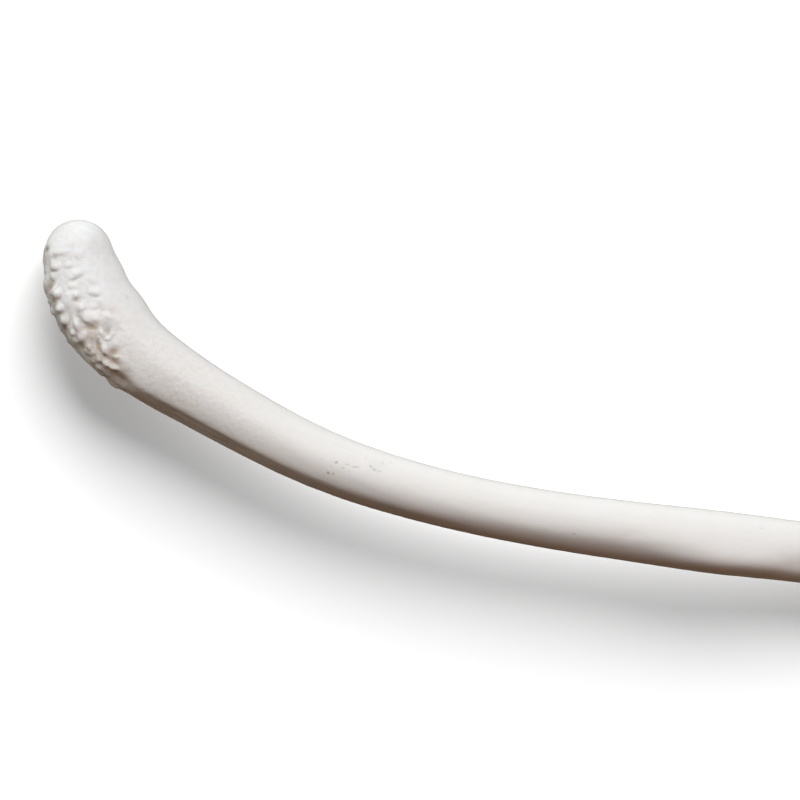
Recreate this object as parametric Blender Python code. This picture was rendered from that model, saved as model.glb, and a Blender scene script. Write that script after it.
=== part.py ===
# A raccoon's baculum lying on its side: one solid bone with a knobbly base, a gently
# curved shaft, and a hooked tip that ends in two rounded lobes.
# Metres, +Z up. Seen from above, X runs to the right and Y towards the top of the view.

import math

import bmesh
import bpy
import numpy as np
from mathutils import Vector

MM = 0.001

# The bone is drawn along its midline, by distance in mm from the end of its base
LENGTH = 113.0

# Heading of the midline in the XY plane, in degrees, followed in short steps
WALK_STEP = 0.05
HEADING = (
    (0.0, -79.0), (4.7, -75.0), (8.4, -56.5), (12.6, -40.0), (16.8, -32.9), (25.2, -28.5),
    (33.6, -19.4), (42.0, -13.1), (50.5, -9.2), (59.0, -7.0), (69.0, -6.8), (74.0, -9.8),
    (80.0, -24.0), (86.5, -52.0), (93.0, -84.0), (99.0, -104.0), (105.0, -112.0), (113.0, -110.0),
)

# Half the height, in the plane of the bend
HALF_HEIGHT = (
    (0.0, 2.90), (3.2, 2.90), (5.3, 3.16), (7.7, 3.30), (12.3, 3.20), (15.8, 3.02), (20.5, 2.77),
    (29.5, 2.53), (39.0, 2.40), (46.3, 2.38), (54.7, 2.48), (63.0, 2.62), (71.5, 2.52),
    (78.0, 2.42), (87.0, 2.15), (97.0, 1.88), (103.5, 1.75), (108.5, 2.10), (113.0, 2.20),
)

# Half the width, across the plane of the bend
HALF_WIDTH = (
    (0.0, 2.60), (3.2, 2.60), (7.7, 3.10), (12.6, 3.05), (20.5, 2.68), (29.5, 2.47),
    (46.3, 2.42), (63.0, 2.52), (78.0, 2.35), (89.0, 2.20), (97.0, 2.30), (103.0, 2.90),
    (108.5, 4.15), (113.0, 4.25),
)

# The shaft bows a little to one side, away from what the bone lies on
SIDE_BOW = (
    (0.0, 0.0), (10.0, 0.1), (22.0, 0.8), (38.0, 2.0), (55.0, 2.9), (68.0, 2.9), (78.0, 2.0),
    (87.0, 0.8), (96.0, 0.1), (113.0, 0.0),
)

# Rounded ends: how far each end's rounding reaches along the midline
BASE_ROUNDING = 2.9
TIP_ROUNDING = 2.7

# Two shallow flutes run along the underside near the base, each with a lip beside it
FLUTE_DEPTH = 0.055
FLUTE_TURN = 21.0
FLUTE_SPREAD = 13.0
LIP_HEIGHT = 0.03
LIP_TURN = 43.0
LIP_SPREAD = 10.0
FLUTE_SPAN = (10.0, 46.0)
FLUTE_FADE = 8.0

# The groove along the hollow of the hook, and the notch between the two lobes
GROOVE_DEPTH = 0.55
GROOVE_SPREAD = 26.0
GROOVE_SPAN = (91.0, 112.0)
GROOVE_FADE = 6.0
NOTCH_DEPTH = 2.4
NOTCH_REACH = 4.6
NOTCH_SPREAD = 1.3

# Long low swellings and hollows of the shaft: place, reach, turn and height
SWELLING_SPREAD = 40.0
SWELLINGS = (
    (5.0, 1.6, 180.0, 0.22), (9.2, 2.3, 180.0, 0.38), (25.0, 6.0, 200.0, 0.08),
    (56.0, 4.5, 40.0, -0.10), (63.5, 3.2, 40.0, 0.14), (69.5, 3.6, 40.0, -0.06),
    (75.0, 5.0, 150.0, 0.10), (84.0, 6.0, 190.0, 0.10),
)

# The rough pad is an oval round the outer side of the base, sunk a little between its nodules
PAD_START = 1.4
PAD_MIDDLE = 8.6
PAD_END = 14.4
PAD_TURN = 98.0
PAD_EDGE = 0.8
PAD_INSET = 0.12

# The nodules that stand out most: place, turn and radius
KNOBS = (
    (3.8, 51.0, 0.48), (5.8, 41.0, 0.52), (7.3, 35.0, 0.50), (6.4, 71.0, 0.38), (6.3, 96.0, 0.36),
    (8.1, 75.0, 0.72), (8.2, 35.0, 0.42), (8.5, 51.0, 0.44), (9.5, 46.0, 0.46), (10.4, 42.0, 0.40),
    (9.7, 78.0, 0.58), (11.0, 62.0, 0.46), (12.1, 51.0, 0.54), (12.0, 72.0, 0.28),
)

# The rest are scattered between them
NODULE_TRIES = 3000
NODULE_SEED = 41
NODULE_RADIUS = (0.36, 0.72)
NODULE_SPACING = 0.80
NODULE_LEAST_COVER = 0.25
NODULE_EDGE_SIZE = 0.6
DOME_HEIGHT = 0.62

# Mesh density: rings along the bone, and the corners of each ring by their turn
BASE_STEP = 0.28
SHAFT_STEP = 2.8
STEP_GROWTH = 0.35
TIP_STEP = 0.8
FINE_BASE_TO = 15.4
FINE_TIP_FROM = 98.0
END_RINGS = 7
PAD_SIDES = 34
PAD_SIDES_TO = 102.0
OTHER_SIDES = 12

# It settles in a few turns, and its three resting points are worn flat this deep
SETTLE_TURNS = 3
REST_FLAT = 0.11
CUT_TOLERANCE = 1e-7


def value_at(stations, s):
    """Smooth curve through (distance, value) stations, with the mean slope at each."""
    xs = [p[0] for p in stations]
    ys = [p[1] for p in stations]
    s = min(max(s, xs[0]), xs[-1])
    slopes = []
    for i in range(len(xs)):
        low = max(i - 1, 0)
        high = min(i + 1, len(xs) - 1)
        slopes.append((ys[high] - ys[low]) / (xs[high] - xs[low]))
    i = 0
    while i < len(xs) - 2 and s > xs[i + 1]:
        i += 1
    span = xs[i + 1] - xs[i]
    t = (s - xs[i]) / span
    return ((2 * t**3 - 3 * t**2 + 1) * ys[i] + (t**3 - 2 * t**2 + t) * span * slopes[i]
            + (3 * t**2 - 2 * t**3) * ys[i + 1] + (t**3 - t**2) * span * slopes[i + 1])


def ramp(x, low, high):
    """0 below low, 1 above high, smooth between."""
    t = min(max((x - low) / (high - low), 0.0), 1.0)
    return t * t * (3.0 - 2.0 * t)


def band(x, low, high, edge):
    """1 between low and high, fading to 0 over the edge distance inside each end."""
    return ramp(x, low, low + edge) * (1.0 - ramp(x, high - edge, high))


def ring_places():
    """Distances of the rings: close together on the rough base, the tip and both ends."""
    places = [BASE_ROUNDING * (1.0 - math.cos(0.5 * math.pi * i / END_RINGS))
              for i in range(1, END_RINGS)]
    s = BASE_ROUNDING
    while s < LENGTH - TIP_ROUNDING:
        places.append(s)
        if s < FINE_BASE_TO:
            s += BASE_STEP
        elif s < FINE_TIP_FROM:
            s += min(SHAFT_STEP, BASE_STEP + STEP_GROWTH * (s - FINE_BASE_TO))
        else:
            s += TIP_STEP
    places += [LENGTH - TIP_ROUNDING * (1.0 - math.sin(0.5 * math.pi * i / END_RINGS))
               for i in range(END_RINGS)]
    return places


def ring_turns():
    """Turns of a ring's corners, close together on the side of the pad."""
    fine = [-PAD_SIDES_TO + 2.0 * PAD_SIDES_TO * i / PAD_SIDES for i in range(PAD_SIDES)]
    rest = 360.0 - 2.0 * PAD_SIDES_TO
    return fine + [PAD_SIDES_TO + rest * i / OTHER_SIDES for i in range(OTHER_SIDES)]


def midline(places):
    """Centre, forward direction and outward direction at each distance."""
    x = y = walked = 0.0
    frames = []
    for s in places:
        while walked < s:
            part = min(WALK_STEP, s - walked)
            angle = math.radians(value_at(HEADING, walked + 0.5 * part))
            x += part * math.cos(angle)
            y += part * math.sin(angle)
            walked += part
        angle = math.radians(value_at(HEADING, s))
        rise = value_at(SIDE_BOW, s)
        forward = np.array([math.cos(angle), math.sin(angle), 0.0])
        outward = np.array([math.sin(angle), -math.cos(angle), 0.0])
        frames.append((np.array([x, y, rise]), forward, outward))
    return frames


def rounding(s):
    """How much of its full size the bone has at s, because its ends are round."""
    if s < BASE_ROUNDING:
        return math.sqrt(max(0.0, 1.0 - (1.0 - s / BASE_ROUNDING) ** 2))
    if s > LENGTH - TIP_ROUNDING:
        left = (LENGTH - s) / TIP_ROUNDING
        return math.sqrt(max(0.0, 1.0 - (1.0 - left) ** 2))
    return 1.0


def bell(x, middle, spread):
    """1 at the middle, fading smoothly to both sides."""
    return math.exp(-((x - middle) / spread) ** 2)


def ring_point(s, turn, centre, forward, outward):
    """Point of the plain bone at distance s; turn is 0 on the outer side, 90 on top."""
    side = min(turn % 360.0, -turn % 360.0)
    flute = band(s, *FLUTE_SPAN, FLUTE_FADE)
    scale = rounding(s)
    scale *= 1.0 - flute * FLUTE_DEPTH * bell(side, FLUTE_TURN, FLUTE_SPREAD)
    scale *= 1.0 + flute * LIP_HEIGHT * bell(side, LIP_TURN, LIP_SPREAD)
    a = math.radians(turn)
    across = scale * value_at(HALF_HEIGHT, s) * math.cos(a)
    up = scale * value_at(HALF_WIDTH, s) * math.sin(a)
    groove = GROOVE_DEPTH * rounding(s) * band(s, *GROOVE_SPAN, GROOVE_FADE)
    across -= groove * bell(side, 0.0, GROOVE_SPREAD)
    for place, reach, middle, height in SWELLINGS:
        apart = (turn - middle + 180.0) % 360.0 - 180.0
        lift = height * bell(s, place, reach) * bell(apart, 0.0, SWELLING_SPREAD)
        across += lift * math.cos(a)
        up += lift * math.sin(a)
    back = NOTCH_DEPTH * ramp(s, LENGTH - NOTCH_REACH, LENGTH) * bell(up, 0.0, NOTCH_SPREAD)
    return centre + across * outward + up * np.array([0.0, 0.0, 1.0]) - back * forward


def pad_cover(s, turn):
    """1 on the rough pad and 0 off it."""
    side = min(turn % 360.0, -turn % 360.0)
    if s < PAD_MIDDLE:
        along = (PAD_MIDDLE - s) / (PAD_MIDDLE - PAD_START)
    else:
        along = (s - PAD_MIDDLE) / (PAD_END - PAD_MIDDLE)
    return 1.0 - ramp(math.hypot(along, side / PAD_TURN), PAD_EDGE, 1.0)


def grow_nodules():
    """Centre and radius of each nodule: the named ones, then others that don't crowd them."""
    chance = np.random.default_rng(NODULE_SEED)
    nodules = [(ring_point(s, turn, *midline([s])[0]), radius) for s, turn, radius in KNOBS]
    for _ in range(NODULE_TRIES):
        s = chance.uniform(PAD_START, PAD_END)
        turn = chance.uniform(-PAD_TURN, PAD_TURN)
        radius = chance.uniform(*NODULE_RADIUS)
        cover = pad_cover(s, turn)
        if cover < NODULE_LEAST_COVER:
            continue
        radius *= NODULE_EDGE_SIZE + (1.0 - NODULE_EDGE_SIZE) * cover
        point = ring_point(s, turn, *midline([s])[0])
        if all(np.linalg.norm(point - other) > NODULE_SPACING * (radius + size)
               for other, size in nodules):
            nodules.append((point, radius))
    return nodules


def bone_surface():
    """Rings of points, with the nodules raised on them along the surface's normals."""
    places = ring_places()
    turns = ring_turns()
    grid = np.array([[ring_point(s, turn, *frame) for turn in turns]
                     for s, frame in zip(places, midline(places))])
    start_frame, end_frame = midline([0.0, LENGTH])
    poles = [ring_point(0.0, 0.0, *start_frame), ring_point(LENGTH, 0.0, *end_frame)]

    first, last = [np.repeat(pole[None, None, :], len(turns), 1) for pole in poles]
    along = np.concatenate([grid[1:], last]) - np.concatenate([first, grid[:-1]])
    around = np.roll(grid, -1, axis=1) - np.roll(grid, 1, axis=1)
    normals = np.cross(around, along)
    normals /= np.linalg.norm(normals, axis=2)[:, :, None]

    sunk = -PAD_INSET * np.array([[pad_cover(s, turn) for turn in turns] for s in places])
    lift = sunk.copy()
    for point, radius in grow_nodules():
        apart = np.linalg.norm(grid - point, axis=2) / radius
        dome = sunk + DOME_HEIGHT * radius * np.sqrt(np.clip(1.0 - apart**2, 0.0, None))
        lift = np.maximum(lift, dome)
    return grid + lift[:, :, None] * normals, poles


def closed_mesh(grid, poles):
    """One closed skin over the rings, with its faces pointing out."""
    bm = bmesh.new()
    rings = [[bm.verts.new(point * MM) for point in ring] for ring in grid]
    first = bm.verts.new(poles[0] * MM)
    last = bm.verts.new(poles[1] * MM)
    sides = len(rings[0])
    for i in range(sides):
        j = (i + 1) % sides
        bm.faces.new((first, rings[0][j], rings[0][i]))
        for ring, following in zip(rings, rings[1:]):
            bm.faces.new((ring[i], ring[j], following[j], following[i]))
        bm.faces.new((last, rings[-1][i], rings[-1][j]))
    bmesh.ops.triangulate(bm, faces=bm.faces[:])
    bmesh.ops.recalc_face_normals(bm, faces=bm.faces[:])
    return bm


def centre_of_mass(bm):
    """Centroid of the solid inside a triangulated skin."""
    total = 0.0
    moment = Vector()
    for face in bm.faces:
        a, b, c = [v.co for v in face.verts]
        volume = a.dot(b.cross(c)) / 6.0
        total += volume
        moment += volume * (a + b + c) / 4.0
    return moment / total


def resting_normal(bm):
    """Normal of the hull facet that lies under the centre of mass."""
    middle = centre_of_mass(bm)
    hull = bmesh.new()
    for vert in bm.verts:
        hull.verts.new(vert.co)
    result = bmesh.ops.convex_hull(hull, input=hull.verts[:])
    faces = [f for f in result["geom"] if isinstance(f, bmesh.types.BMFace)]
    best = None
    for face in faces:
        face.normal_update()
        if face.normal.z > 0.0:
            continue
        corners = [v.co.xy for v in face.verts]
        turns = [(q - p).cross(middle.xy - p) for p, q in zip(corners, corners[1:] + corners[:1])]
        if all(t >= 0 for t in turns) or all(t <= 0 for t in turns):
            best = face.normal.copy()
    hull.free()
    return best


def lay_down(bm):
    """Turn the bone to rest on three points, wear them flat, and centre it."""
    down = Vector((0.0, 0.0, -1.0))
    for _ in range(SETTLE_TURNS):
        turn = resting_normal(bm).rotation_difference(down).to_matrix()
        bmesh.ops.rotate(bm, verts=bm.verts[:], cent=(0.0, 0.0, 0.0), matrix=turn)
    lowest = min(v.co.z for v in bm.verts)
    bmesh.ops.translate(bm, verts=bm.verts[:], vec=(0.0, 0.0, -lowest - REST_FLAT * MM))
    bmesh.ops.bisect_plane(
        bm, geom=bm.verts[:] + bm.edges[:] + bm.faces[:], dist=CUT_TOLERANCE,
        plane_co=(0.0, 0.0, 0.0), plane_no=down, clear_outer=True)
    rims = [e for e in bm.edges if e.is_boundary]
    bmesh.ops.holes_fill(bm, edges=rims)
    bmesh.ops.triangulate(bm, faces=bm.faces[:])
    bmesh.ops.recalc_face_normals(bm, faces=bm.faces[:])
    xs = [v.co.x for v in bm.verts]
    ys = [v.co.y for v in bm.verts]
    middle = Vector((-0.5 * (min(xs) + max(xs)), -0.5 * (min(ys) + max(ys)), 0.0))
    bmesh.ops.translate(bm, verts=bm.verts[:], vec=middle)


def bone_material():
    """Clean dry bone: warm off-white with a faint gloss."""
    material = bpy.data.materials.new("bone")
    material.use_nodes = True
    shader = material.node_tree.nodes["Principled BSDF"]
    shader.inputs["Base Color"].default_value = (0.84, 0.81, 0.76, 1.0)
    shader.inputs["Roughness"].default_value = 0.45
    shader.inputs["Metallic"].default_value = 0.0
    return material


def make_baculum():
    bm = closed_mesh(*bone_surface())
    lay_down(bm)
    mesh = bpy.data.meshes.new("baculum")
    bm.to_mesh(mesh)
    bm.free()
    mesh.shade_smooth()
    bone = bpy.data.objects.new("baculum", mesh)
    bone.data.materials.append(bone_material())
    bpy.context.collection.objects.link(bone)
    return bone


for old in list(bpy.data.objects):
    bpy.data.objects.remove(old)
make_baculum()
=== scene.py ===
# A raccoon's baculum on a pale table, seen from straight above.
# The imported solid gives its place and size. A copy of it is remeshed, smoothed and sculpted
# into the fine bone that shows.

import math

import bpy
import numpy as np
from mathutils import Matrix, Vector
from mathutils.bvhtree import BVHTree


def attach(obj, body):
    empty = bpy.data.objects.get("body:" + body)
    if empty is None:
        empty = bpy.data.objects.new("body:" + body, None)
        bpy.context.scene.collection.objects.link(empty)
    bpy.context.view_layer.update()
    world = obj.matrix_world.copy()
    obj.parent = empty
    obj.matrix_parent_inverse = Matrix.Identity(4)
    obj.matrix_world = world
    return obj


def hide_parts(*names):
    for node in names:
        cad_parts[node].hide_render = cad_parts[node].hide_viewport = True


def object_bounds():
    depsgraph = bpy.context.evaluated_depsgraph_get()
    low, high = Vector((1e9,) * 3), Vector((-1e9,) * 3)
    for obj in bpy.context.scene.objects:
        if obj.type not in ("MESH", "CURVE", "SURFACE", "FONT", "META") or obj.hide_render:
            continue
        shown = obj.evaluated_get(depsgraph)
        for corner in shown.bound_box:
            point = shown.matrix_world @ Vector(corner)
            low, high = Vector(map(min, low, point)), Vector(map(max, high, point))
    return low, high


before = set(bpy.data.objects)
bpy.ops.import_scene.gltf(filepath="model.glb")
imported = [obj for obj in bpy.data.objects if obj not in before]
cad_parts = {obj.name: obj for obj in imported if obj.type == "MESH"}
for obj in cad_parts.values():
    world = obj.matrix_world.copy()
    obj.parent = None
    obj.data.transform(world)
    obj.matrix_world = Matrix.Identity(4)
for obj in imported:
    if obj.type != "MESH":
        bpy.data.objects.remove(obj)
cadLow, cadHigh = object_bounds()
scene = bpy.context.scene
mm = 0.001
print("frame loaded:", [round(side / mm, 1) for side in cadHigh - cadLow], "mm")


# Camera

shot = {
    "pixels": 800,  # the photograph is square
    "pixelSize": 0.082 * mm,
    "boneLeft": 41.5,  # the pixel column of the bone's left end
    "boneTop": 218.0,  # and the pixel row of its top
    "sharpHeight": 4.2 * mm,  # the height at which pixelSize holds
    "distance": 500 * mm,
    "sensor": 36.0,
}


def makeCamera():
    halfFrame = 0.5 * shot["pixels"]
    camData = bpy.data.cameras.new("camera")
    camData.sensor_width = shot["sensor"]
    camData.lens = shot["sensor"] * shot["distance"] / (shot["pixels"] * shot["pixelSize"])
    camData.clip_start = 10 * mm
    camData.clip_end = 10.0
    camera = bpy.data.objects.new("camera", camData)
    camera.location = (
        cadLow.x + (halfFrame - shot["boneLeft"]) * shot["pixelSize"],
        cadHigh.y - (halfFrame - shot["boneTop"]) * shot["pixelSize"],
        shot["sharpHeight"] + shot["distance"],
    )
    scene.collection.objects.link(camera)
    scene.camera = camera
    return camera


camera = makeCamera()


def pixelSpot(tree, column, row):
    # the point of the bone that a pixel of the photograph shows
    eye = camera.location
    halfFrame = 0.5 * shot["pixels"]
    seen = Vector((
        eye.x + (column - halfFrame) * shot["pixelSize"],
        eye.y - (row - halfFrame) * shot["pixelSize"],
        shot["sharpHeight"],
    ))
    spot = tree.ray_cast(eye, (seen - eye).normalized())[0]
    if spot is None:
        spot = tree.find_nearest(seen)[0]
    return np.array(spot)


# Small helpers for meshes

def onlySelect(piece):
    bpy.ops.object.select_all(action="DESELECT")
    piece.select_set(True)
    bpy.context.view_layer.objects.active = piece


def applyModifier(piece, kind, **settings):
    onlySelect(piece)
    modifier = piece.modifiers.new(kind.lower(), kind)
    for name, value in settings.items():
        setattr(modifier, name, value)
    bpy.ops.object.modifier_apply(modifier=modifier.name)


def readPoints(piece):
    points = np.empty(len(piece.data.vertices) * 3)
    piece.data.vertices.foreach_get("co", points)
    return points.reshape(-1, 3)


def readNormals(piece):
    normals = np.empty(len(piece.data.vertices) * 3)
    piece.data.vertex_normals.foreach_get("vector", normals)
    return normals.reshape(-1, 3)


def writePoints(piece, points):
    piece.data.vertices.foreach_set("co", points.ravel())
    piece.data.update()


def smoothStep(values, low, high):
    t = np.clip((values - low) / (high - low), 0.0, 1.0)
    return t * t * (3.0 - 2.0 * t)


# The bone's skin, remeshed from a copy of the solid

boneSkin = {
    "voxel": 0.26 * mm,
    "evenPasses": 14,  # takes the solid's facets away
    "padPasses": 26,  # and its coarse nodules, on the pad alone
    "padFineCuts": 2,  # how often the pad's faces are halved
    "cutSmoothness": 0.6,
}


def makeSkin():
    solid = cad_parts["baculum"]
    bone = bpy.data.objects.new("fineBone", solid.data.copy())
    scene.collection.objects.link(bone)
    bone.data.materials.clear()
    onlySelect(bone)
    bpy.ops.object.mode_set(mode="EDIT")
    bpy.ops.mesh.select_all(action="SELECT")
    bpy.ops.mesh.remove_doubles(threshold=0.001 * mm)
    bpy.ops.object.mode_set(mode="OBJECT")
    applyModifier(bone, "REMESH", mode="VOXEL", voxel_size=boneSkin["voxel"], use_smooth_shade=True)
    applyModifier(bone, "SMOOTH", factor=0.5, iterations=boneSkin["evenPasses"])
    return bone


# The midline is walked from the base's end to the tip, and every point of the bone gets
# its place along it, and its turn round it: 0 on the pad's side, 90 on top.

walk = {
    "startHeading": -79.0,  # degrees, where the base's end points in
    "stride": 0.5 * mm,
    "slab": 0.45 * mm,
    "reach": 6.0 * mm,
    "leastPoints": 8,  # a slab with fewer is past the bone's end
    "lookBack": 5,
    "leastAhead": 0.9,
    "mostStrides": 300,
    "resample": 0.1 * mm,
    "blur": 1.3 * mm,
    "block": 20000,  # how many points are compared with the line at once
    "skip": 3,
}


def walkMidline(points):
    heading = math.radians(walk["startHeading"])
    forward = np.array([math.cos(heading), math.sin(heading), 0.0])
    centres = [points[(points @ forward).argmin()]]
    for _ in range(walk["mostStrides"]):
        apart = points - centres[-1] - forward * walk["stride"]
        near = np.abs(apart @ forward) < walk["slab"]
        near &= (apart ** 2).sum(axis=1) < walk["reach"] ** 2
        if near.sum() < walk["leastPoints"]:
            break
        ring = points[near]
        middle = 0.5 * (ring.min(axis=0) + ring.max(axis=0))
        centre = 0.5 * (ring.mean(axis=0) + middle)
        step = centre - centres[max(-walk["lookBack"], -len(centres))]
        step /= np.linalg.norm(step)
        if step @ forward < walk["leastAhead"]:  # it has turned round at the tip
            break
        centres.append(centre)
        if len(centres) > walk["lookBack"]:
            forward = step
    return np.array(centres)


def evenMidline(centres):
    # gives the walked line points at an even spacing, and rounds it off
    length = np.concatenate([[0.0], np.cumsum(np.linalg.norm(np.diff(centres, axis=0), axis=1))])
    places = np.arange(0.0, length[-1], walk["resample"])
    line = np.stack([np.interp(places, length, centres[:, i]) for i in range(3)], axis=1)
    reach = int(3.0 * walk["blur"] / walk["resample"])
    before = 2.0 * line[0] - line[reach:0:-1]
    after = 2.0 * line[-1] - line[-2:-reach - 2:-1]
    padded = np.concatenate([before, line, after])
    weights = np.exp(-0.5 * (np.arange(-reach, reach + 1) * walk["resample"] / walk["blur"]) ** 2)
    weights /= weights.sum()
    line = np.stack([np.convolve(padded[:, i], weights, "valid") for i in range(3)], axis=1)
    forward = np.gradient(line, axis=0)
    forward /= np.linalg.norm(forward, axis=1)[:, None]
    return places, line, forward


def unbend(points, midline):
    # straightens the bone: place along it, offset to the pad's side, offset upwards
    places, line, forward = midline
    nearest = np.empty(len(points), int)
    for first in range(0, len(points), walk["block"]):
        block = points[first:first + walk["block"]]
        coarse = line[::walk["skip"]]
        gaps = (coarse ** 2).sum(axis=1)[None, :] - 2.0 * block @ coarse.T
        nearest[first:first + walk["block"]] = gaps.argmin(axis=1) * walk["skip"]
    ahead = forward[nearest]
    apart = points - line[nearest]
    outward = np.stack([ahead[:, 1], -ahead[:, 0], np.zeros(len(points))], axis=1)
    outward /= np.linalg.norm(outward, axis=1)[:, None]
    upward = np.cross(outward, ahead)
    upward *= np.sign(upward[:, 2:3])
    return np.stack([
        places[nearest] + (apart * ahead).sum(axis=1),
        (apart * outward).sum(axis=1),
        (apart * upward).sum(axis=1),
    ], axis=1)


# The rough pad: an oval round the outer side of the base

pad = {
    "start": 1.2 * mm,  # places along the midline
    "middle": 7.4 * mm,
    "end": 14.6 * mm,
    "reach": 17.0 * mm,  # knobs may lie a little past its end
    "turn": 104.0,  # how far it goes round the bone, in degrees each way
    "edge": 0.70,  # where its border starts to fade
    "squareness": 3.4,  # 2 would be a circle
    "squareTurns": (-12.0, 16.0),  # degrees over which the squarer section fades in
    "squareStart": (0.2 * mm, 2.6 * mm),
    "squareEnd": (11.0 * mm, 19.0 * mm),
    "inset": 0.03 * mm,  # how deep it lies on top
    "flank": 0.16 * mm,  # and how far it stands out at the side
    "darkStainAndShade": 0.04,  # how dark it is between its knobs: partly stain, partly painted shade
    "clearHeight": 0.05,  # mm: that stain and painted shade is gone on knobs much higher than this
    "crestHeights": (0.08, 0.30),  # mm: knob tops are painted paler between these heights, a painted highlight
    "domePower": 1.4,
    "lumps": 0.10 * mm,
    "lumpSize": 0.9 * mm,
    "fineCover": 0.02,  # faces are halved where the pad covers more than this
}


def padCover(straight):
    along = straight[:, 0] - pad["middle"]
    reach = np.where(along < 0.0, pad["middle"] - pad["start"], pad["end"] - pad["middle"])
    side = np.degrees(np.arctan2(np.abs(straight[:, 2]), straight[:, 1]))
    oval = np.hypot(along / reach, side / pad["turn"])
    return 1.0 - smoothStep(oval, pad["edge"], 1.0)


def squarePad(bone, midline):
    # lifts the base between its top and the pad's outer side, so that the pad lies flatter
    points = readPoints(bone)
    straight = unbend(points, midline)
    radius = np.hypot(straight[:, 1], straight[:, 2])
    turn = np.degrees(np.arctan2(straight[:, 2], straight[:, 1]))
    out = np.clip(straight[:, 1] / radius, 0.0, 0.985)  # short of 1, where the slope has no end
    power = pad["squareness"]
    lift = radius * ((1.0 - out ** power) ** (1.0 / power) - np.sqrt(1.0 - out ** 2))
    lift *= smoothStep(turn, *pad["squareTurns"])
    lift *= smoothStep(straight[:, 0], *pad["squareStart"])
    lift *= 1.0 - smoothStep(straight[:, 0], *pad["squareEnd"])
    points[:, 2] += lift
    writePoints(bone, points)


def selectFaces(piece, pointMask):
    # selects the faces whose corners are all in the mask
    mesh = piece.data
    corners = np.empty(len(mesh.loops), int)
    mesh.loops.foreach_get("vertex_index", corners)
    starts = np.empty(len(mesh.polygons), int)
    mesh.polygons.foreach_get("loop_start", starts)
    chosen = np.logical_and.reduceat(pointMask[corners], starts)
    for part in (mesh.vertices, mesh.edges):
        part.foreach_set("select", np.zeros(len(part), bool))
    mesh.polygons.foreach_set("select", chosen)


def subdivideWhere(piece, pointMask, smoothness):
    onlySelect(piece)
    bpy.context.tool_settings.mesh_select_mode = (False, False, True)
    selectFaces(piece, pointMask)
    bpy.ops.object.mode_set(mode="EDIT")
    bpy.ops.mesh.subdivide(number_cuts=1, smoothness=smoothness, ngon=False)
    bpy.ops.object.mode_set(mode="OBJECT")


def smoothPad(bone, midline):
    cover = padCover(unbend(readPoints(bone), midline))
    group = bone.vertex_groups.new(name="pad")
    for index in np.nonzero(cover > 0.0)[0]:
        group.add([int(index)], float(cover[index]), "REPLACE")
    applyModifier(bone, "SMOOTH", factor=0.5, iterations=boneSkin["padPasses"], vertex_group="pad")
    clouds = bpy.data.textures.new("padLumps", "CLOUDS")
    clouds.noise_scale = pad["lumpSize"]
    clouds.noise_depth = 1
    applyModifier(bone, "DISPLACE", texture=clouds, texture_coords="LOCAL", strength=pad["lumps"],
                  mid_level=0.5, vertex_group="pad")
    bone.vertex_groups.clear()


bone = makeSkin()
midline = evenMidline(walkMidline(readPoints(bone)))
smoothPad(bone, midline)
squarePad(bone, midline)
for _ in range(boneSkin["padFineCuts"]):
    cover = padCover(unbend(readPoints(bone), midline))
    subdivideWhere(bone, cover > pad["fineCover"], boneSkin["cutSmoothness"])
print("skin:", len(bone.data.vertices), "points, midline", round(midline[0][-1] / mm, 1), "mm")


# Knobs that the photograph shows, and low swells of the bone's end: column and row of the
# middle, length and width in pixels, angle in degrees (anticlockwise from the right), height
# in mm, and lean: how much higher the side away from the light is

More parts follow.
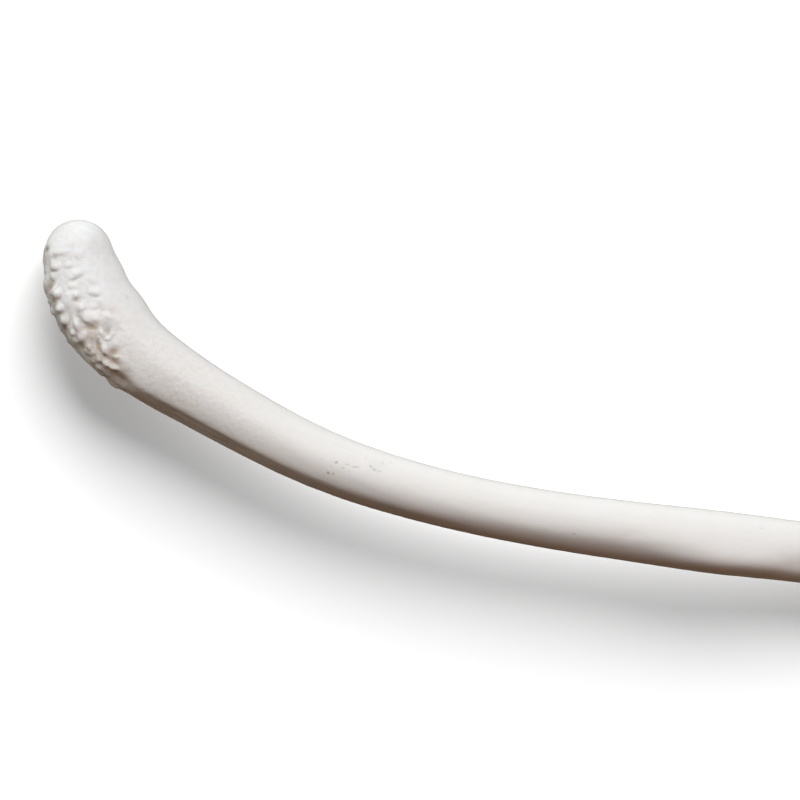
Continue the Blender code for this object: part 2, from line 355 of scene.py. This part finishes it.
knobs = (
    (60, 229, 30, 15, 12, 0.03, 0.5),
    (86, 236, 26, 14, -62, 0.03, 0.4),
    (70, 242, 30, 12, 6, 0.035, 0.7),
    (51, 238.6, 18, 12, 35, 0.06, 0.5),
    (45.3, 244, 12, 9, 60, 0.16, 0.3),
    (60, 251.5, 26, 9, 5, 0.08, 0.9),
    (77, 253, 20, 11, 14, 0.06, 0.9),
    (54.5, 265.9, 18, 13, 0, 0.18, 0.8),
    (68.5, 264.1, 17, 10, 10, 0.08, 0.8),
    (46.5, 273.6, 20, 6, 86, 0.12, 0),
    (53, 276.1, 22, 12, 15, 0.14, 0.6),
    (76, 272.6, 23, 14, 24, 0.11, 0.9),
    (92.5, 278.6, 13, 10, 0, 0.06, 0.9),
    (72, 284.6, 15, 10, 0, 0.06, 0.8),
    (75.9, 294.2, 11, 11, 0, 0.17, 0.7),
    (95, 290.7, 17, 13, 0, 0.12, 0.9),
    (43.5, 287.5, 30, 26, 75, 0.30, 0),
    (57.2, 293, 16, 11, 50, 0.25, 0.5),
    (53.2, 291.2, 24, 5.5, 59, 0.26, 0),
    (49, 301.6, 17, 6, 80, 0.19, 0),
    (66, 300.6, 24, 18, 60, 0.08, 0.3),
    (54, 308.6, 15, 11, 20, 0.19, 0.6),
    (59.6, 307.8, 22, 12, 12, 0.27, 0.6),
    (53.2, 311.4, 14, 10, -45, 0.26, 0),
    (63.9, 320.2, 20, 11, 50, 0.21, 0.6),
    (76.2, 322.6, 21, 8.5, 105, 0.19, 0.4),
    (72.5, 332.6, 9, 6, 90, 0.14, 0.4),
    (83.8, 335.4, 17, 10, 65, 0.13, 0.4),
    (88.3, 347.1, 10, 6, 100, 0.11, 0.4),
    (90, 315, 25, 21, 15, 0.22, 0.7),
    (82.5, 307, 14, 12, 20, 0.12, 0.6),
    (95, 318.6, 13, 11, 0, 0.18, 0.5),
    (87.2, 320, 12, 9, -30, 0.19, 0.5),
    (93, 307, 13, 11, 0, 0.12, 0.5),
    (108, 314.8, 21, 9, -25, 0.06, 0.7),
    (101.8, 331.8, 16, 7, 120, 0.13, 0.5),
    (112.4, 331.8, 17, 7, 75, 0.11, 0.4),
    (107.8, 338, 11, 6, 10, 0.10, 0.3),
    (103.9, 348.2, 18, 9, 108, 0.20, 0.5),
    (116.2, 356.6, 9, 7, 0, 0.12, 0.5),
    (112, 366.4, 20, 8.5, -22, 0.24, 0.5),
    (106.6, 363.6, 12, 8.5, -22, 0.22, 0.5),
    (92.4, 352.6, 9, 6, 110, 0.11, 0.4),
    (97.6, 358.8, 13, 6, 120, 0.12, 0.4),
    (92, 360.4, 10, 6, -45, 0.12, 0.3),
    (98, 366.8, 10, 6, -45, 0.12, 0.3),
    (85.5, 352, 8, 6, 100, 0.08, 0.3),
    (104.5, 366.4, 9, 6, 120, 0.09, 0.3),
    (98, 351.6, 19, 5, 105, 0.05, 0.3),
    (62, 328.6, 10, 7, -60, 0.08, 0.2),
    (70, 340.6, 11, 7, -50, 0.10, 0.2),
    (78, 349.6, 11, 7, -45, 0.10, 0.2),
    (101, 371.6, 13, 7, -40, 0.10, 0.2),
    (98.5, 337.6, 4, 3, 0, 0.06, 0.3),
    (103, 339.1, 4, 3, 0, 0.06, 0.3),
    (118, 344.6, 5, 4, 0, 0.06, 0.5),
)

# Hollows and creases: column, row, length and width in pixels, angle, depth in mm, and how much
# brown stain and painted shade
hollows = (
    (47.4, 248.8, 12, 6, 30, 0.10, 0.56),
    (44.6, 254.4, 11, 6, 72, 0.09, 0.48),
    (54, 257.6, 14, 5, 5, 0.066, 0.22),
    (65, 256.6, 12, 4, 0, 0.036, 0.1),
    (45, 272.6, 14, 4, 88, 0.042, 0.28),
    (54, 271.3, 13, 4, -5, 0.06, 0.22),
    (50, 287.2, 24, 11, 56, 0.28, 0.56),
    (45.5, 294.1, 11, 7, 60, 0.10, 0.40),
    (54.3, 301.6, 12, 8, 35, 0.13, 0.38),
    (58.6, 299.6, 8, 4, 10, 0.05, 0.26),
    (58.5, 315.2, 17, 4, 5, 0.07, 0.26),
    (65.3, 329.6, 16, 10, 60, 0.15, 0.54),
    (75.5, 337.6, 8, 6, 80, 0.112, 0.4),
    (69.7, 322.6, 12, 4, 75, 0.06, 0.24),
    (80.8, 346, 11, 9, 30, 0.18, 0.66),
    (80, 319.6, 18, 7, 118, 0.08, 0.24),
    (85.5, 324, 11, 7, -35, 0.06, 0.22),
    (90.3, 327.5, 20, 8, 3, 0.12, 0.63),
    (92, 339, 26, 15, 107, 0.11, 0.40),
    (97.6, 346.6, 18, 7, 103, 0.16, 0.78),
    (107.3, 331.4, 9, 8, 0, 0.12, 0.44),
    (101.5, 338.6, 8, 2.5, -45, 0.042, 0.22),
    (113.4, 351.8, 11, 9, 10, 0.12, 0.76),
    (107, 358, 15, 8, -20, 0.10, 0.54),
    (113.8, 362.3, 16, 8, -28, 0.09, 0.66),
    (119.5, 380, 22, 16, -30, 0.34, 0.68),
    (94, 351.6, 34, 15, -60, 0.05, 0.32),
    (90.3, 358, 9, 5, 120, 0.08, 0.44),
    (95.2, 356, 9, 4, 118, 0.06, 0.40),
    (100.8, 364.4, 10, 5, 110, 0.08, 0.46),
    (85, 352.6, 15, 9, -50, 0.07, 0.24),
    (66.5, 334.5, 22, 8, -52, 0.05, 0.34),
    (92, 361.6, 24, 9, -48, 0.05, 0.50),
    (102, 373.6, 16, 7, -42, 0.02, 0),
    (112.4, 311, 10, 5, -22, 0.05, 0.26),
    (77, 259.9, 10, 3, 15, 0.03, 0.08),
    (76, 278.6, 15, 3.2, 28, 0.06, 0.12),
    (73.5, 280.3, 5, 3.5, 10, 0.04, 0.14),
    (76, 300.6, 9, 4.5, 0, 0.08, 0.32),
    (95, 297, 11, 4, 5, 0.048, 0.13),
    (89.5, 295.4, 5, 3, -30, 0.024, 0.14),
    (92.5, 283.3, 6, 3, 0, 0.024, 0.12),
    (70, 289.4, 7, 3, 0, 0.024, 0.14),
    (97.5, 246, 26, 3.5, -74, 0.03, 0.10),
    (127, 298.1, 3, 4, 0, 0.018, 0.25),
    (113, 254, 5, 3, 80, 0.012, 0.22),
    (130.5, 370.6, 7, 2.5, -20, 0.018, 0.25),
)

lightHeading = 92.0  # degrees: the knobs lean away from the light, which comes from here

# The pad's hidden side has lumps of the same kind, scattered
scatter = {
    "seed": 7,
    "tries": 900,
    "radius": (0.34, 0.78),  # mm
    "stretch": (1.0, 1.6),
    "lean": 0.3,
    "highestTurn": -4.0,  # degrees: none lie above this turn, where the knobs of the list are
    "leastCover": 0.3,
    "spacing": 0.80,
    "height": 0.24,  # mm, for a radius of 1 mm
}


def oval(points, spot, length, width, angle):
    # squared distance from the spot, 1 on the edge of an oval
    a = math.radians(angle)
    axis = np.array([math.cos(a), math.sin(a), 0.0])
    apart = points - spot
    along = apart @ axis
    across = (apart ** 2).sum(axis=1) - along ** 2
    return (along / (0.5 * length)) ** 2 + across / (0.5 * width) ** 2


def knobLift(points, spot, length, width, angle, height, lean):
    h = math.radians(lightHeading)
    inside = np.clip(1.0 - oval(points, spot, length, width, angle), 0.0, None)
    towards = (points - spot) @ np.array([math.cos(h), math.sin(h), 0.0]) / (0.5 * width)
    towards = np.clip(towards, -1.0, 1.0)
    return height * inside ** pad["domePower"] * (1.0 - lean * towards)


def sculptPad(bone, midline):
    points = readPoints(bone)
    normals = readNormals(bone)
    straight = unbend(points, midline)
    cover = padCover(straight)
    faces = [tuple(face.vertices) for face in bone.data.polygons]
    tree = BVHTree.FromPolygons(points.tolist(), faces)
    pixel = shot["pixelSize"]
    onBase = straight[:, 0] < pad["reach"]
    near = points[onBase]
    nearCover = cover[onBase]
    rise = np.zeros(len(near))  # the cubes of all the domes, summed
    for column, row, length, width, angle, height, lean in knobs:
        spot = pixelSpot(tree, column, row)
        dome = knobLift(near, spot, length * pixel, width * pixel, angle, height, lean)
        rise += dome ** 3

    chance = np.random.default_rng(scatter["seed"])
    turn = np.degrees(np.arctan2(straight[onBase, 2], straight[onBase, 1]))
    hidden = (turn < scatter["highestTurn"]) & (nearCover > scatter["leastCover"])
    hidden = np.nonzero(hidden)[0]
    centres = []
    for _ in range(scatter["tries"]):
        pick = hidden[int(chance.integers(len(hidden)))]
        # lumps are smaller towards the pad's border
        radius = chance.uniform(*scatter["radius"]) * mm * (0.6 + 0.4 * nearCover[pick])
        angle = chance.uniform(0.0, 180.0)
        stretch = chance.uniform(*scatter["stretch"])
        spot = near[pick]
        if any(np.linalg.norm(spot - c) < scatter["spacing"] * (radius + r) for c, r in centres):
            continue
        centres.append((spot, radius))
        height = scatter["height"] * radius / mm
        length = 2.0 * stretch * radius
        dome = knobLift(near, spot, length, 2.0 * radius, angle, height, scatter["lean"])
        rise += dome ** 3

    rise = np.cbrt(rise)
    upright = np.clip(normals[onBase, 2], 0.0, 1.0)
    lift = rise * mm + nearCover * (pad["flank"] * (1.0 - upright) - pad["inset"] * upright)
    # partly stain, partly painted shade: brown between the knobs and in the hollows' tints
    darkStainAndShade = pad["darkStainAndShade"] * nearCover * np.exp(-rise / pad["clearHeight"])
    for column, row, length, width, angle, depth, stainAndShadeTint in hollows:
        spot = pixelSpot(tree, column, row)
        fall = np.exp(-oval(near, spot, length * pixel, width * pixel, angle))
        lift -= depth * mm * fall
        darkStainAndShade = np.maximum(darkStainAndShade, stainAndShadeTint * fall)
    shift = np.zeros(len(points))
    shift[onBase] = lift
    crevice = np.zeros(len(points))
    crevice[onBase] = darkStainAndShade
    crest = np.zeros(len(points))
    crest[onBase] = smoothStep(rise, *pad["crestHeights"])
    writePoints(bone, points + shift[:, None] * normals)
    return crevice, crest, cover


crevice, crest, cover = sculptPad(bone, midline)
print("pad sculpted")


# The underside near the base is flattened, and a sharp edge runs along the top of the flat

flat = {
    "normalTurn": 21.0,  # degrees: the turn that the flat faces
    "edgeTurn": 43.0,
    "rimWidth": 8.0,  # degrees beyond the edge, each way, where the plain radius is taken
    "from": 13.0 * mm,
    "to": 36.0 * mm,
    "fadeIn": 5.0 * mm,
    "fadeOut": 16.0 * mm,
    "share": 0.85,  # how much of the roundness is taken off
    "crease": 0.10 * mm,  # how soft the edge is
    "edgeFade": 6.0,  # degrees over which the flat's painted paleness and its streaks fade in under its edge
    "lineTurn": 3.0,  # the painted shade line runs this far above the edge,
    "lineWidth": 7.0,  # reaches this far each way
    "lineCore": 1.0,  # and is darkest within this
    "bottomTurns": (-16.0, -8.0),  # the flat's painted paleness and its streaks end between these turns
}

# Swellings and hollows of the shaft: column, row, length and width in pixels, angle, lift in mm
swellings = (
    (345, 474, 150, 18, -22, 0.045),
    (425, 502, 150, 18, -16, 0.055),
    (500, 520, 150, 19, -13, 0.06),
    (575, 533, 150, 20, -9, 0.07),
    (650, 542, 130, 22, -7, 0.08),
    (742, 566, 160, 34, -7, 0.58),
    (629, 536, 14, 9, 30, -0.04),
    (800, 566, 40, 16, -7, -0.12),
)


def sculptShaft(bone, midline):
    points = readPoints(bone)
    straight = unbend(points, midline)
    places = straight[:, 0]
    share = smoothStep(places, flat["from"], flat["from"] + flat["fadeIn"])
    share *= 1.0 - smoothStep(places, flat["to"] - flat["fadeOut"], flat["to"])
    a = math.radians(flat["normalTurn"])
    outwards = straight[:, 1] * math.cos(a) + straight[:, 2] * math.sin(a)

    # the plain radius at each place, taken near the flat's edge
    turn = np.degrees(np.arctan2(straight[:, 2], straight[:, 1]))
    radius = np.hypot(straight[:, 1], straight[:, 2])
    rim = np.abs(turn - flat["edgeTurn"] - flat["rimWidth"]) < flat["rimWidth"]
    order = np.argsort(places[rim])
    radiusAt = np.interp(places, places[rim][order], radius[rim][order])
    level = radiusAt * math.cos(math.radians(flat["edgeTurn"] - flat["normalTurn"]))
    over = outwards - level
    press = 0.5 * flat["share"] * share * (over + np.hypot(over, flat["crease"]))

    count = len(midline[0]) - 1
    index = np.clip((places / walk["resample"]).astype(int), 0, count)
    ahead = midline[2][index]
    outward = np.stack([ahead[:, 1], -ahead[:, 0], np.zeros(len(points))], axis=1)
    outward /= np.linalg.norm(outward, axis=1)[:, None]
    facing = math.cos(a) * outward + math.sin(a) * np.array([0.0, 0.0, 1.0])
    faces = [tuple(face.vertices) for face in bone.data.polygons]
    tree = BVHTree.FromPolygons(points.tolist(), faces)
    lift = np.zeros(len(points))
    pixel = shot["pixelSize"]
    for column, row, length, width, angle, height in swellings:
        spot = pixelSpot(tree, column, row)
        lift += height * mm * np.exp(-oval(points, spot, length * pixel, width * pixel, angle))
    points -= press[:, None] * facing
    points[:, 2] += lift
    points[:, 2] = np.maximum(points[:, 2], 0.0)  # nothing reaches under the table
    writePoints(bone, points)


sculptShaft(bone, midline)
print("shaft sculpted")


# What the material reads: the straightened place of each point, and the masks of stain and painted
# shade, of the knobs' painted highlight and of the pad

def storeAttributes(bone, midline, **masks):
    straight = unbend(readPoints(bone), midline)
    along = bone.data.attributes.new("straight", "FLOAT_VECTOR", "POINT")
    along.data.foreach_set("vector", straight.astype(np.float32).ravel())
    for name, mask in masks.items():
        layer = bone.data.attributes.new(name, "FLOAT", "POINT")
        layer.data.foreach_set("value", mask.astype(np.float32))


storeAttributes(bone, midline, crevice=crevice, crest=crest, cover=cover)
bone.data.shade_smooth()


# Bone material

boneLook = {
    "ivory": (0.810, 0.808, 0.800, 1.0),
    "cream": (0.805, 0.795, 0.780, 1.0),
    # painted highlight: the paler colour of the knobs' tops
    "paleTopHighlight": (0.860, 0.872, 0.885, 1.0),
    "endWhite": (0.850, 0.872, 0.895, 1.0),
    "whiteFrom": 15.0 * mm,
    "whiteTo": 3.0 * mm,
    "whiteShare": 0.7,
    "paleTopHighlightShare": 0.35,
    "fibre": (0.58, 0.51, 0.43, 1.0),
    "fibreShare": 0.16,
    # brown of stain and painted shade, between the knobs and in the hollows
    "stainAndShadeBrown": (0.38, 0.265, 0.150, 1.0),
    "pore": (0.60, 0.52, 0.44, 1.0),
    "poreShare": 0.12,
    # painted light: the flat's paler colour stands in for light thrown back from the table
    "flatPaintedBounce": (0.97, 0.96, 0.95, 1.0),
    "flatPaintedBounceShare": 0.9,
    "flatStreakShare": 0.65,
    # painted shade: the dark line along the flat's edge
    "flatPaintedShadeLine": (0.46, 0.38, 0.31, 1.0),
    "flatPaintedShadeLineShare": 0.6,
    "speck": (0.24, 0.25, 0.27, 1.0),
    "roughness": 0.48,
    "specular": 0.25,
    "sheen": 1.0,  # a dusty, paler look at the edges
    "sheenRoughness": 0.3,
    "glow": 0.6,  # how much light goes in under the surface
    "glowDepth": 0.8 * mm,
    "glowRadius": (1.0, 0.9, 0.8),
    "cloudScale": 300.0,
    "cloudRange": (0.36, 0.70),  # the values of the noise between which clouds fade in
    "fibreStretch": (420.0, 4200.0, 4200.0),  # finest across the bone
    "fibreRange": (0.56, 0.80),
    "flatStreakRange": (0.46, 0.60),
    "poreScale": 2300.0,
    "poreRange": (0.62, 0.30),
    "poreDepth": 0.016 * mm,
    "poresFrom": 31.0 * mm,  # the shaft is smooth beyond this place, and pitted before
    "poresTo": 16.0 * mm,
    "poresLeast": 0.15,  # the share of the pits that the smooth shaft keeps
    "rubbleScale": 2600.0,  # the pad's own fine roughness
    "rubbleDepth": 0.06 * mm,
    "grainScale": 7000.0,
    "grainDepth": 0.004 * mm,
    "fibreDepth": 0.005 * mm,
}


# Blue-grey scuffs and specks: column, row, length and width in pixels, angle, strength
specks = (
    (336.3, 462.3, 5.2, 3.6, 20, 0.57),
    (328.3, 472.9, 5.7, 3.9, -30, 0.57),
    (333.3, 473.8, 4.4, 3.4, 0, 0.44),
    (343.3, 468, 3.6, 2.9, 0, 0.29),
    (347.5, 464.6, 6.5, 2.9, 0, 0.25),
    (355.4, 466.8, 14.3, 3.1, -3, 0.28),
    (370.8, 466.3, 5.9, 3.6, -45, 0.41),
    (374.2, 469.6, 6.5, 3.9, -20, 0.37),
    (379.2, 471.3, 10.4, 2.9, -8, 0.21),
    (390.4, 462.5, 6.5, 3.1, 0, 0.14),
    (378, 464, 31.2, 22.1, 0, 0.05),
    (366, 458, 6, 2.6, 30, 0.14),
    (383, 463, 7, 3, -30, 0.16),
    (322, 459, 5, 2.6, 0, 0.14),
    (331.5, 466, 3.6, 2.6, 0, 0.2),
    (349, 471, 4, 2.6, 0, 0.16),
    (574, 533.7, 4.2, 3.4, 0, 0.29),
    (761.6, 528.2, 9.1, 2.9, -5, 0.18),
)


def link(tree, source, target):
    tree.links.new(source, target)


def addNode(tree, kind, **values):
    node = tree.nodes.new(kind)
    for name, value in values.items():
        if name in node.inputs:
            node.inputs[name].default_value = value
        else:
            setattr(node, name, value)
    return node


def fill(tree, socket, value):
    if isinstance(value, bpy.types.NodeSocket):
        link(tree, value, socket)
    else:
        socket.default_value = value


def mixColour(tree, factor, first, second, blend="MIX"):
    node = addNode(tree, "ShaderNodeMix", data_type="RGBA", blend_type=blend)
    fill(tree, node.inputs["Factor"], factor)
    fill(tree, node.inputs[6], first)
    fill(tree, node.inputs[7], second)
    return node.outputs[2]


def calculate(tree, operation, first, second=0.0):
    node = addNode(tree, "ShaderNodeMath", operation=operation)
    fill(tree, node.inputs[0], first)
    fill(tree, node.inputs[1], second)
    return node.outputs[0]


def mapRange(tree, value, low, high, toLow=0.0, toHigh=1.0):
    node = addNode(tree, "ShaderNodeMapRange", interpolation_type="SMOOTHSTEP")
    settings = {"From Min": low, "From Max": high, "To Min": toLow, "To Max": toHigh}
    for name, setting in settings.items():
        node.inputs[name].default_value = setting
    link(tree, value, node.inputs["Value"])
    return node.outputs["Result"]


def addNoise(tree, place, scale, detail, roughness=0.55):
    node = addNode(tree, "ShaderNodeTexNoise", Scale=scale, Detail=detail, Roughness=roughness)
    link(tree, place, node.inputs["Vector"])
    return node.outputs["Fac"]


def addBump(tree, height, depth, below=None):
    node = addNode(tree, "ShaderNodeBump", Strength=1.0, Distance=depth)
    link(tree, height, node.inputs["Height"])
    if below is not None:
        link(tree, below, node.inputs["Normal"])
    return node.outputs["Normal"]


def addSpecks(tree, bone, place, colour):
    points = readPoints(bone)
    faces = [tuple(face.vertices) for face in bone.data.polygons]
    surface = BVHTree.FromPolygons(points.tolist(), faces)
    for column, row, length, width, angle, strength in specks:
        spot = pixelSpot(surface, column, row)
        local = addNode(tree, "ShaderNodeMapping", vector_type="TEXTURE")
        local.inputs["Location"].default_value = spot
        local.inputs["Rotation"].default_value = (0.0, 0.0, math.radians(angle))
        half = 0.5 * shot["pixelSize"]
        local.inputs["Scale"].default_value = (half * length, half * width, half * length)
        link(tree, place, local.inputs["Vector"])
        apart = addNode(tree, "ShaderNodeVectorMath", operation="LENGTH")
        link(tree, local.outputs["Vector"], apart.inputs[0])
        shown = mapRange(tree, apart.outputs["Value"], 1.0, 0.2, 0.0, strength)
        colour = mixColour(tree, shown, colour, boneLook["speck"])
    return colour


def makeBoneMaterial(bone):
    material = bpy.data.materials.new("dryBone")
    material.use_nodes = True
    tree = material.node_tree
    shader = tree.nodes["Principled BSDF"]
    unbent = addNode(tree, "ShaderNodeAttribute", attribute_name="straight").outputs["Vector"]
    crevice = addNode(tree, "ShaderNodeAttribute", attribute_name="crevice").outputs["Fac"]
    crest = addNode(tree, "ShaderNodeAttribute", attribute_name="crest").outputs["Fac"]
    place = addNode(tree, "ShaderNodeTexCoord").outputs["Object"]

    # soft clouds of cream in the ivory
    clouds = addNoise(tree, place, boneLook["cloudScale"], 3.0)
    cloudy = mapRange(tree, clouds, *boneLook["cloudRange"])
    colour = mixColour(tree, cloudy, boneLook["ivory"], boneLook["cream"])

    # the base is whiter towards its end
    axes = addNode(tree, "ShaderNodeSeparateXYZ")
    link(tree, unbent, axes.inputs["Vector"])
    white = mapRange(tree, axes.outputs["X"], boneLook["whiteFrom"], boneLook["whiteTo"],
                     0.0, boneLook["whiteShare"])
    colour = mixColour(tree, white, colour, boneLook["endWhite"])

    # long fine fibres
    stretch = addNode(tree, "ShaderNodeMapping")
    stretch.inputs["Scale"].default_value = boneLook["fibreStretch"]
    link(tree, unbent, stretch.inputs["Vector"])
    fibres = addNoise(tree, stretch.outputs["Vector"], 1.0, 4.0, 0.6)
    fibrous = mapRange(tree, fibres, *boneLook["fibreRange"], 0.0, boneLook["fibreShare"])
    colour = mixColour(tree, fibrous, colour, boneLook["fibre"])

    # fine dents, mostly near the pad, and a little brown in them
    rough = mapRange(tree, axes.outputs["X"], boneLook["poresFrom"], boneLook["poresTo"],
                     boneLook["poresLeast"], 1.0)
    pores = addNoise(tree, place, boneLook["poreScale"], 1.5, 0.5)
    pitted = calculate(tree, "MULTIPLY", mapRange(tree, pores, *boneLook["poreRange"]), rough)
    brownPores = calculate(tree, "MULTIPLY", pitted, boneLook["poreShare"])
    colour = mixColour(tree, brownPores, colour, boneLook["pore"])

    # painted light: the flat under the shaft is painted paler, standing in for light thrown back
    # from the table, with a painted shade line along its edge
    turn = calculate(tree, "ARCTAN2", axes.outputs["Z"], axes.outputs["Y"])
    edge = math.radians(flat["edgeTurn"])
    onFlat = mapRange(tree, turn, edge, edge - math.radians(flat["edgeFade"]))
    bottomLow, bottomHigh = flat["bottomTurns"]
    aboveBottom = mapRange(tree, turn, math.radians(bottomLow), math.radians(bottomHigh))
    onFlat = calculate(tree, "MULTIPLY", onFlat, aboveBottom)
    starts = mapRange(tree, axes.outputs["X"], flat["from"], flat["from"] + flat["fadeIn"])
    ends = mapRange(tree, axes.outputs["X"], flat["to"], flat["to"] - flat["fadeOut"])
    flatPart = calculate(tree, "MULTIPLY", starts, ends)
    onFlat = calculate(tree, "MULTIPLY", onFlat, flatPart)
    paintedBounce = calculate(tree, "MULTIPLY", onFlat, boneLook["flatPaintedBounceShare"])
    colour = mixColour(tree, paintedBounce, colour, boneLook["flatPaintedBounce"])
    streaks = mapRange(tree, fibres, *boneLook["flatStreakRange"],
                       0.0, boneLook["flatStreakShare"])
    streaks = calculate(tree, "MULTIPLY", onFlat, streaks)
    colour = mixColour(tree, streaks, colour, boneLook["fibre"])
    # painted shade: a dark line along the flat's edge
    offLine = calculate(tree, "SUBTRACT", turn, edge + math.radians(flat["lineTurn"]))
    offLine = calculate(tree, "ABSOLUTE", offLine)
    onShadeLine = mapRange(tree, offLine, math.radians(flat["lineWidth"]), math.radians(flat["lineCore"]))
    onShadeLine = calculate(tree, "MULTIPLY", onShadeLine, flatPart)
    onShadeLine = calculate(tree, "MULTIPLY", onShadeLine, boneLook["flatPaintedShadeLineShare"])
    colour = mixColour(tree, onShadeLine, colour, boneLook["flatPaintedShadeLine"])

    # painted highlight on the knobs' tops, and brown stain and painted shade between them
    # painted highlight: knob tops painted paler by their height
    paleTops = calculate(tree, "MULTIPLY", crest, boneLook["paleTopHighlightShare"])
    colour = mixColour(tree, paleTops, colour, boneLook["paleTopHighlight"])
    colour = mixColour(tree, crevice, colour, boneLook["stainAndShadeBrown"])

    colour = addSpecks(tree, bone, place, colour)
    link(tree, colour, shader.inputs["Base Color"])
    shader.inputs["Roughness"].default_value = boneLook["roughness"]
    shader.inputs["Specular IOR Level"].default_value = boneLook["specular"]
    shader.inputs["Sheen Weight"].default_value = boneLook["sheen"]
    shader.inputs["Sheen Roughness"].default_value = boneLook["sheenRoughness"]
    shader.inputs["Subsurface Weight"].default_value = boneLook["glow"]
    shader.inputs["Subsurface Radius"].default_value = boneLook["glowRadius"]
    shader.inputs["Subsurface Scale"].default_value = boneLook["glowDepth"]

    # the pores, the fibres and a fine grain in relief
    relief = addBump(tree, calculate(tree, "SUBTRACT", 1.0, pitted), boneLook["poreDepth"])
    relief = addBump(tree, fibres, boneLook["fibreDepth"], relief)
    cover = addNode(tree, "ShaderNodeAttribute", attribute_name="cover").outputs["Fac"]
    rubble = addNoise(tree, place, boneLook["rubbleScale"], 2.5)
    rubble = calculate(tree, "MULTIPLY", rubble, cover)
    relief = addBump(tree, rubble, boneLook["rubbleDepth"], relief)
    grain = addNoise(tree, place, boneLook["grainScale"], 2.0)
    relief = addBump(tree, grain, boneLook["grainDepth"], relief)
    link(tree, relief, shader.inputs["Normal"])
    return material


bone.data.materials.append(makeBoneMaterial(bone))
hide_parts("baculum")
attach(bone, "root")
print("bone finished:", sum(len(f.vertices) - 2 for f in bone.data.polygons), "triangles")


# Table, room and lights

studio = {
    "tableSize": 6.0,
    "tableWhite": (0.80, 0.80, 0.80, 1.0),
    "tableSheen": (0.338, 0.340, 0.342, 1.0),  # keeps the shadows that the camera sees pale
    "tableBounce": (0.136, 0.112, 0.082, 1.0),  # what the table throws back at the bone
    "room": (0.020, 0.018, 0.016, 1.0),
    "backdrop": (1.0, 1.0, 1.0, 1.0),
}

# Each light: heading towards it (degrees, anticlockwise from the right), elevation, distance
# and diameter in metres, power, colour, and whether it falls on the bone or on the table.
# tableGlow comes from below, as the light that a bright table throws up at the bone's far edge.

lights = {
    "key": (78.0, 53.5, 1.5, 1.1, 20.4, (1.0, 1.02, 1.035), "bone"),
    "rim": (78.0, 7.0, 1.5, 0.3, 3.2, (0.97, 1.0, 1.02), "bone"),
    "tableGlow": (78.0, -35.0, 1.5, 1.0, 6.5, (1.0, 1.0, 1.0), "bone"),
    "leftFill": (150.0, 12.0, 1.5, 0.6, 6.2, (1.0, 0.98, 0.84), "bone"),
    "warmFill": (-45.0, 48.0, 1.5, 0.8, 2.1, (1.0, 0.32, 0.05), "bone"),
    "tableKey": (66.0, 21.0, 1.5, 2.43, 113.0, (1.0, 1.0, 1.0), "table"),
}


def makeTable():
    bpy.ops.object.select_all(action="DESELECT")
    bpy.ops.mesh.primitive_plane_add(size=studio["tableSize"])
    table = bpy.context.object
    table.name = "table"
    material = bpy.data.materials.new("paleTable")
    material.use_nodes = True
    tree = material.node_tree
    shader = tree.nodes["Principled BSDF"]
    shader.inputs["Roughness"].default_value = 0.9
    shader.inputs["Specular IOR Level"].default_value = 0.0
    shader.inputs["Emission Strength"].default_value = 1.0
    seen = addNode(tree, "ShaderNodeLightPath").outputs["Is Camera Ray"]
    colour = mixColour(tree, seen, (0.0, 0.0, 0.0, 1.0), studio["tableWhite"])
    link(tree, colour, shader.inputs["Base Color"])
    glow = mixColour(tree, seen, studio["tableBounce"], studio["tableSheen"])
    link(tree, glow, shader.inputs["Emission Color"])
    table.data.materials.append(material)
    return table


def makeRoom():
    world = bpy.data.worlds.new("room")
    world.use_nodes = True
    scene.world = world
    tree = world.node_tree
    seen = addNode(tree, "ShaderNodeLightPath").outputs["Is Camera Ray"]
    colour = mixColour(tree, seen, studio["room"], studio["backdrop"])
    link(tree, colour, tree.nodes["Background"].inputs["Color"])


def makeLight(name, lit):
    heading, elevation, distance, size, power, colour, target = lights[name]
    data = bpy.data.lights.new(name, "AREA")
    data.shape = "DISK"
    data.size = size
    data.energy = power
    data.color = colour
    light = bpy.data.objects.new(name, data)
    h, e = math.radians(heading), math.radians(elevation)
    towards = Vector((math.cos(h) * math.cos(e), math.sin(h) * math.cos(e), math.sin(e)))
    centre = Vector((camera.location.x, camera.location.y, 0.0))
    light.location = centre + distance * towards
    light.rotation_euler = towards.to_track_quat("Z", "Y").to_euler()
    light.light_linking.receiver_collection = lit[target]
    light.light_linking.blocker_collection = lit["bone"]  # so the table stops no light
    scene.collection.objects.link(light)


def litOnly(piece):
    group = bpy.data.collections.new(piece.name + "Lit")
    group.objects.link(piece)
    return group


lit = {"bone": litOnly(bone), "table": litOnly(makeTable())}
makeRoom()
for name in lights:
    makeLight(name, lit)
scene.view_settings.view_transform = "Standard"
print("studio ready")
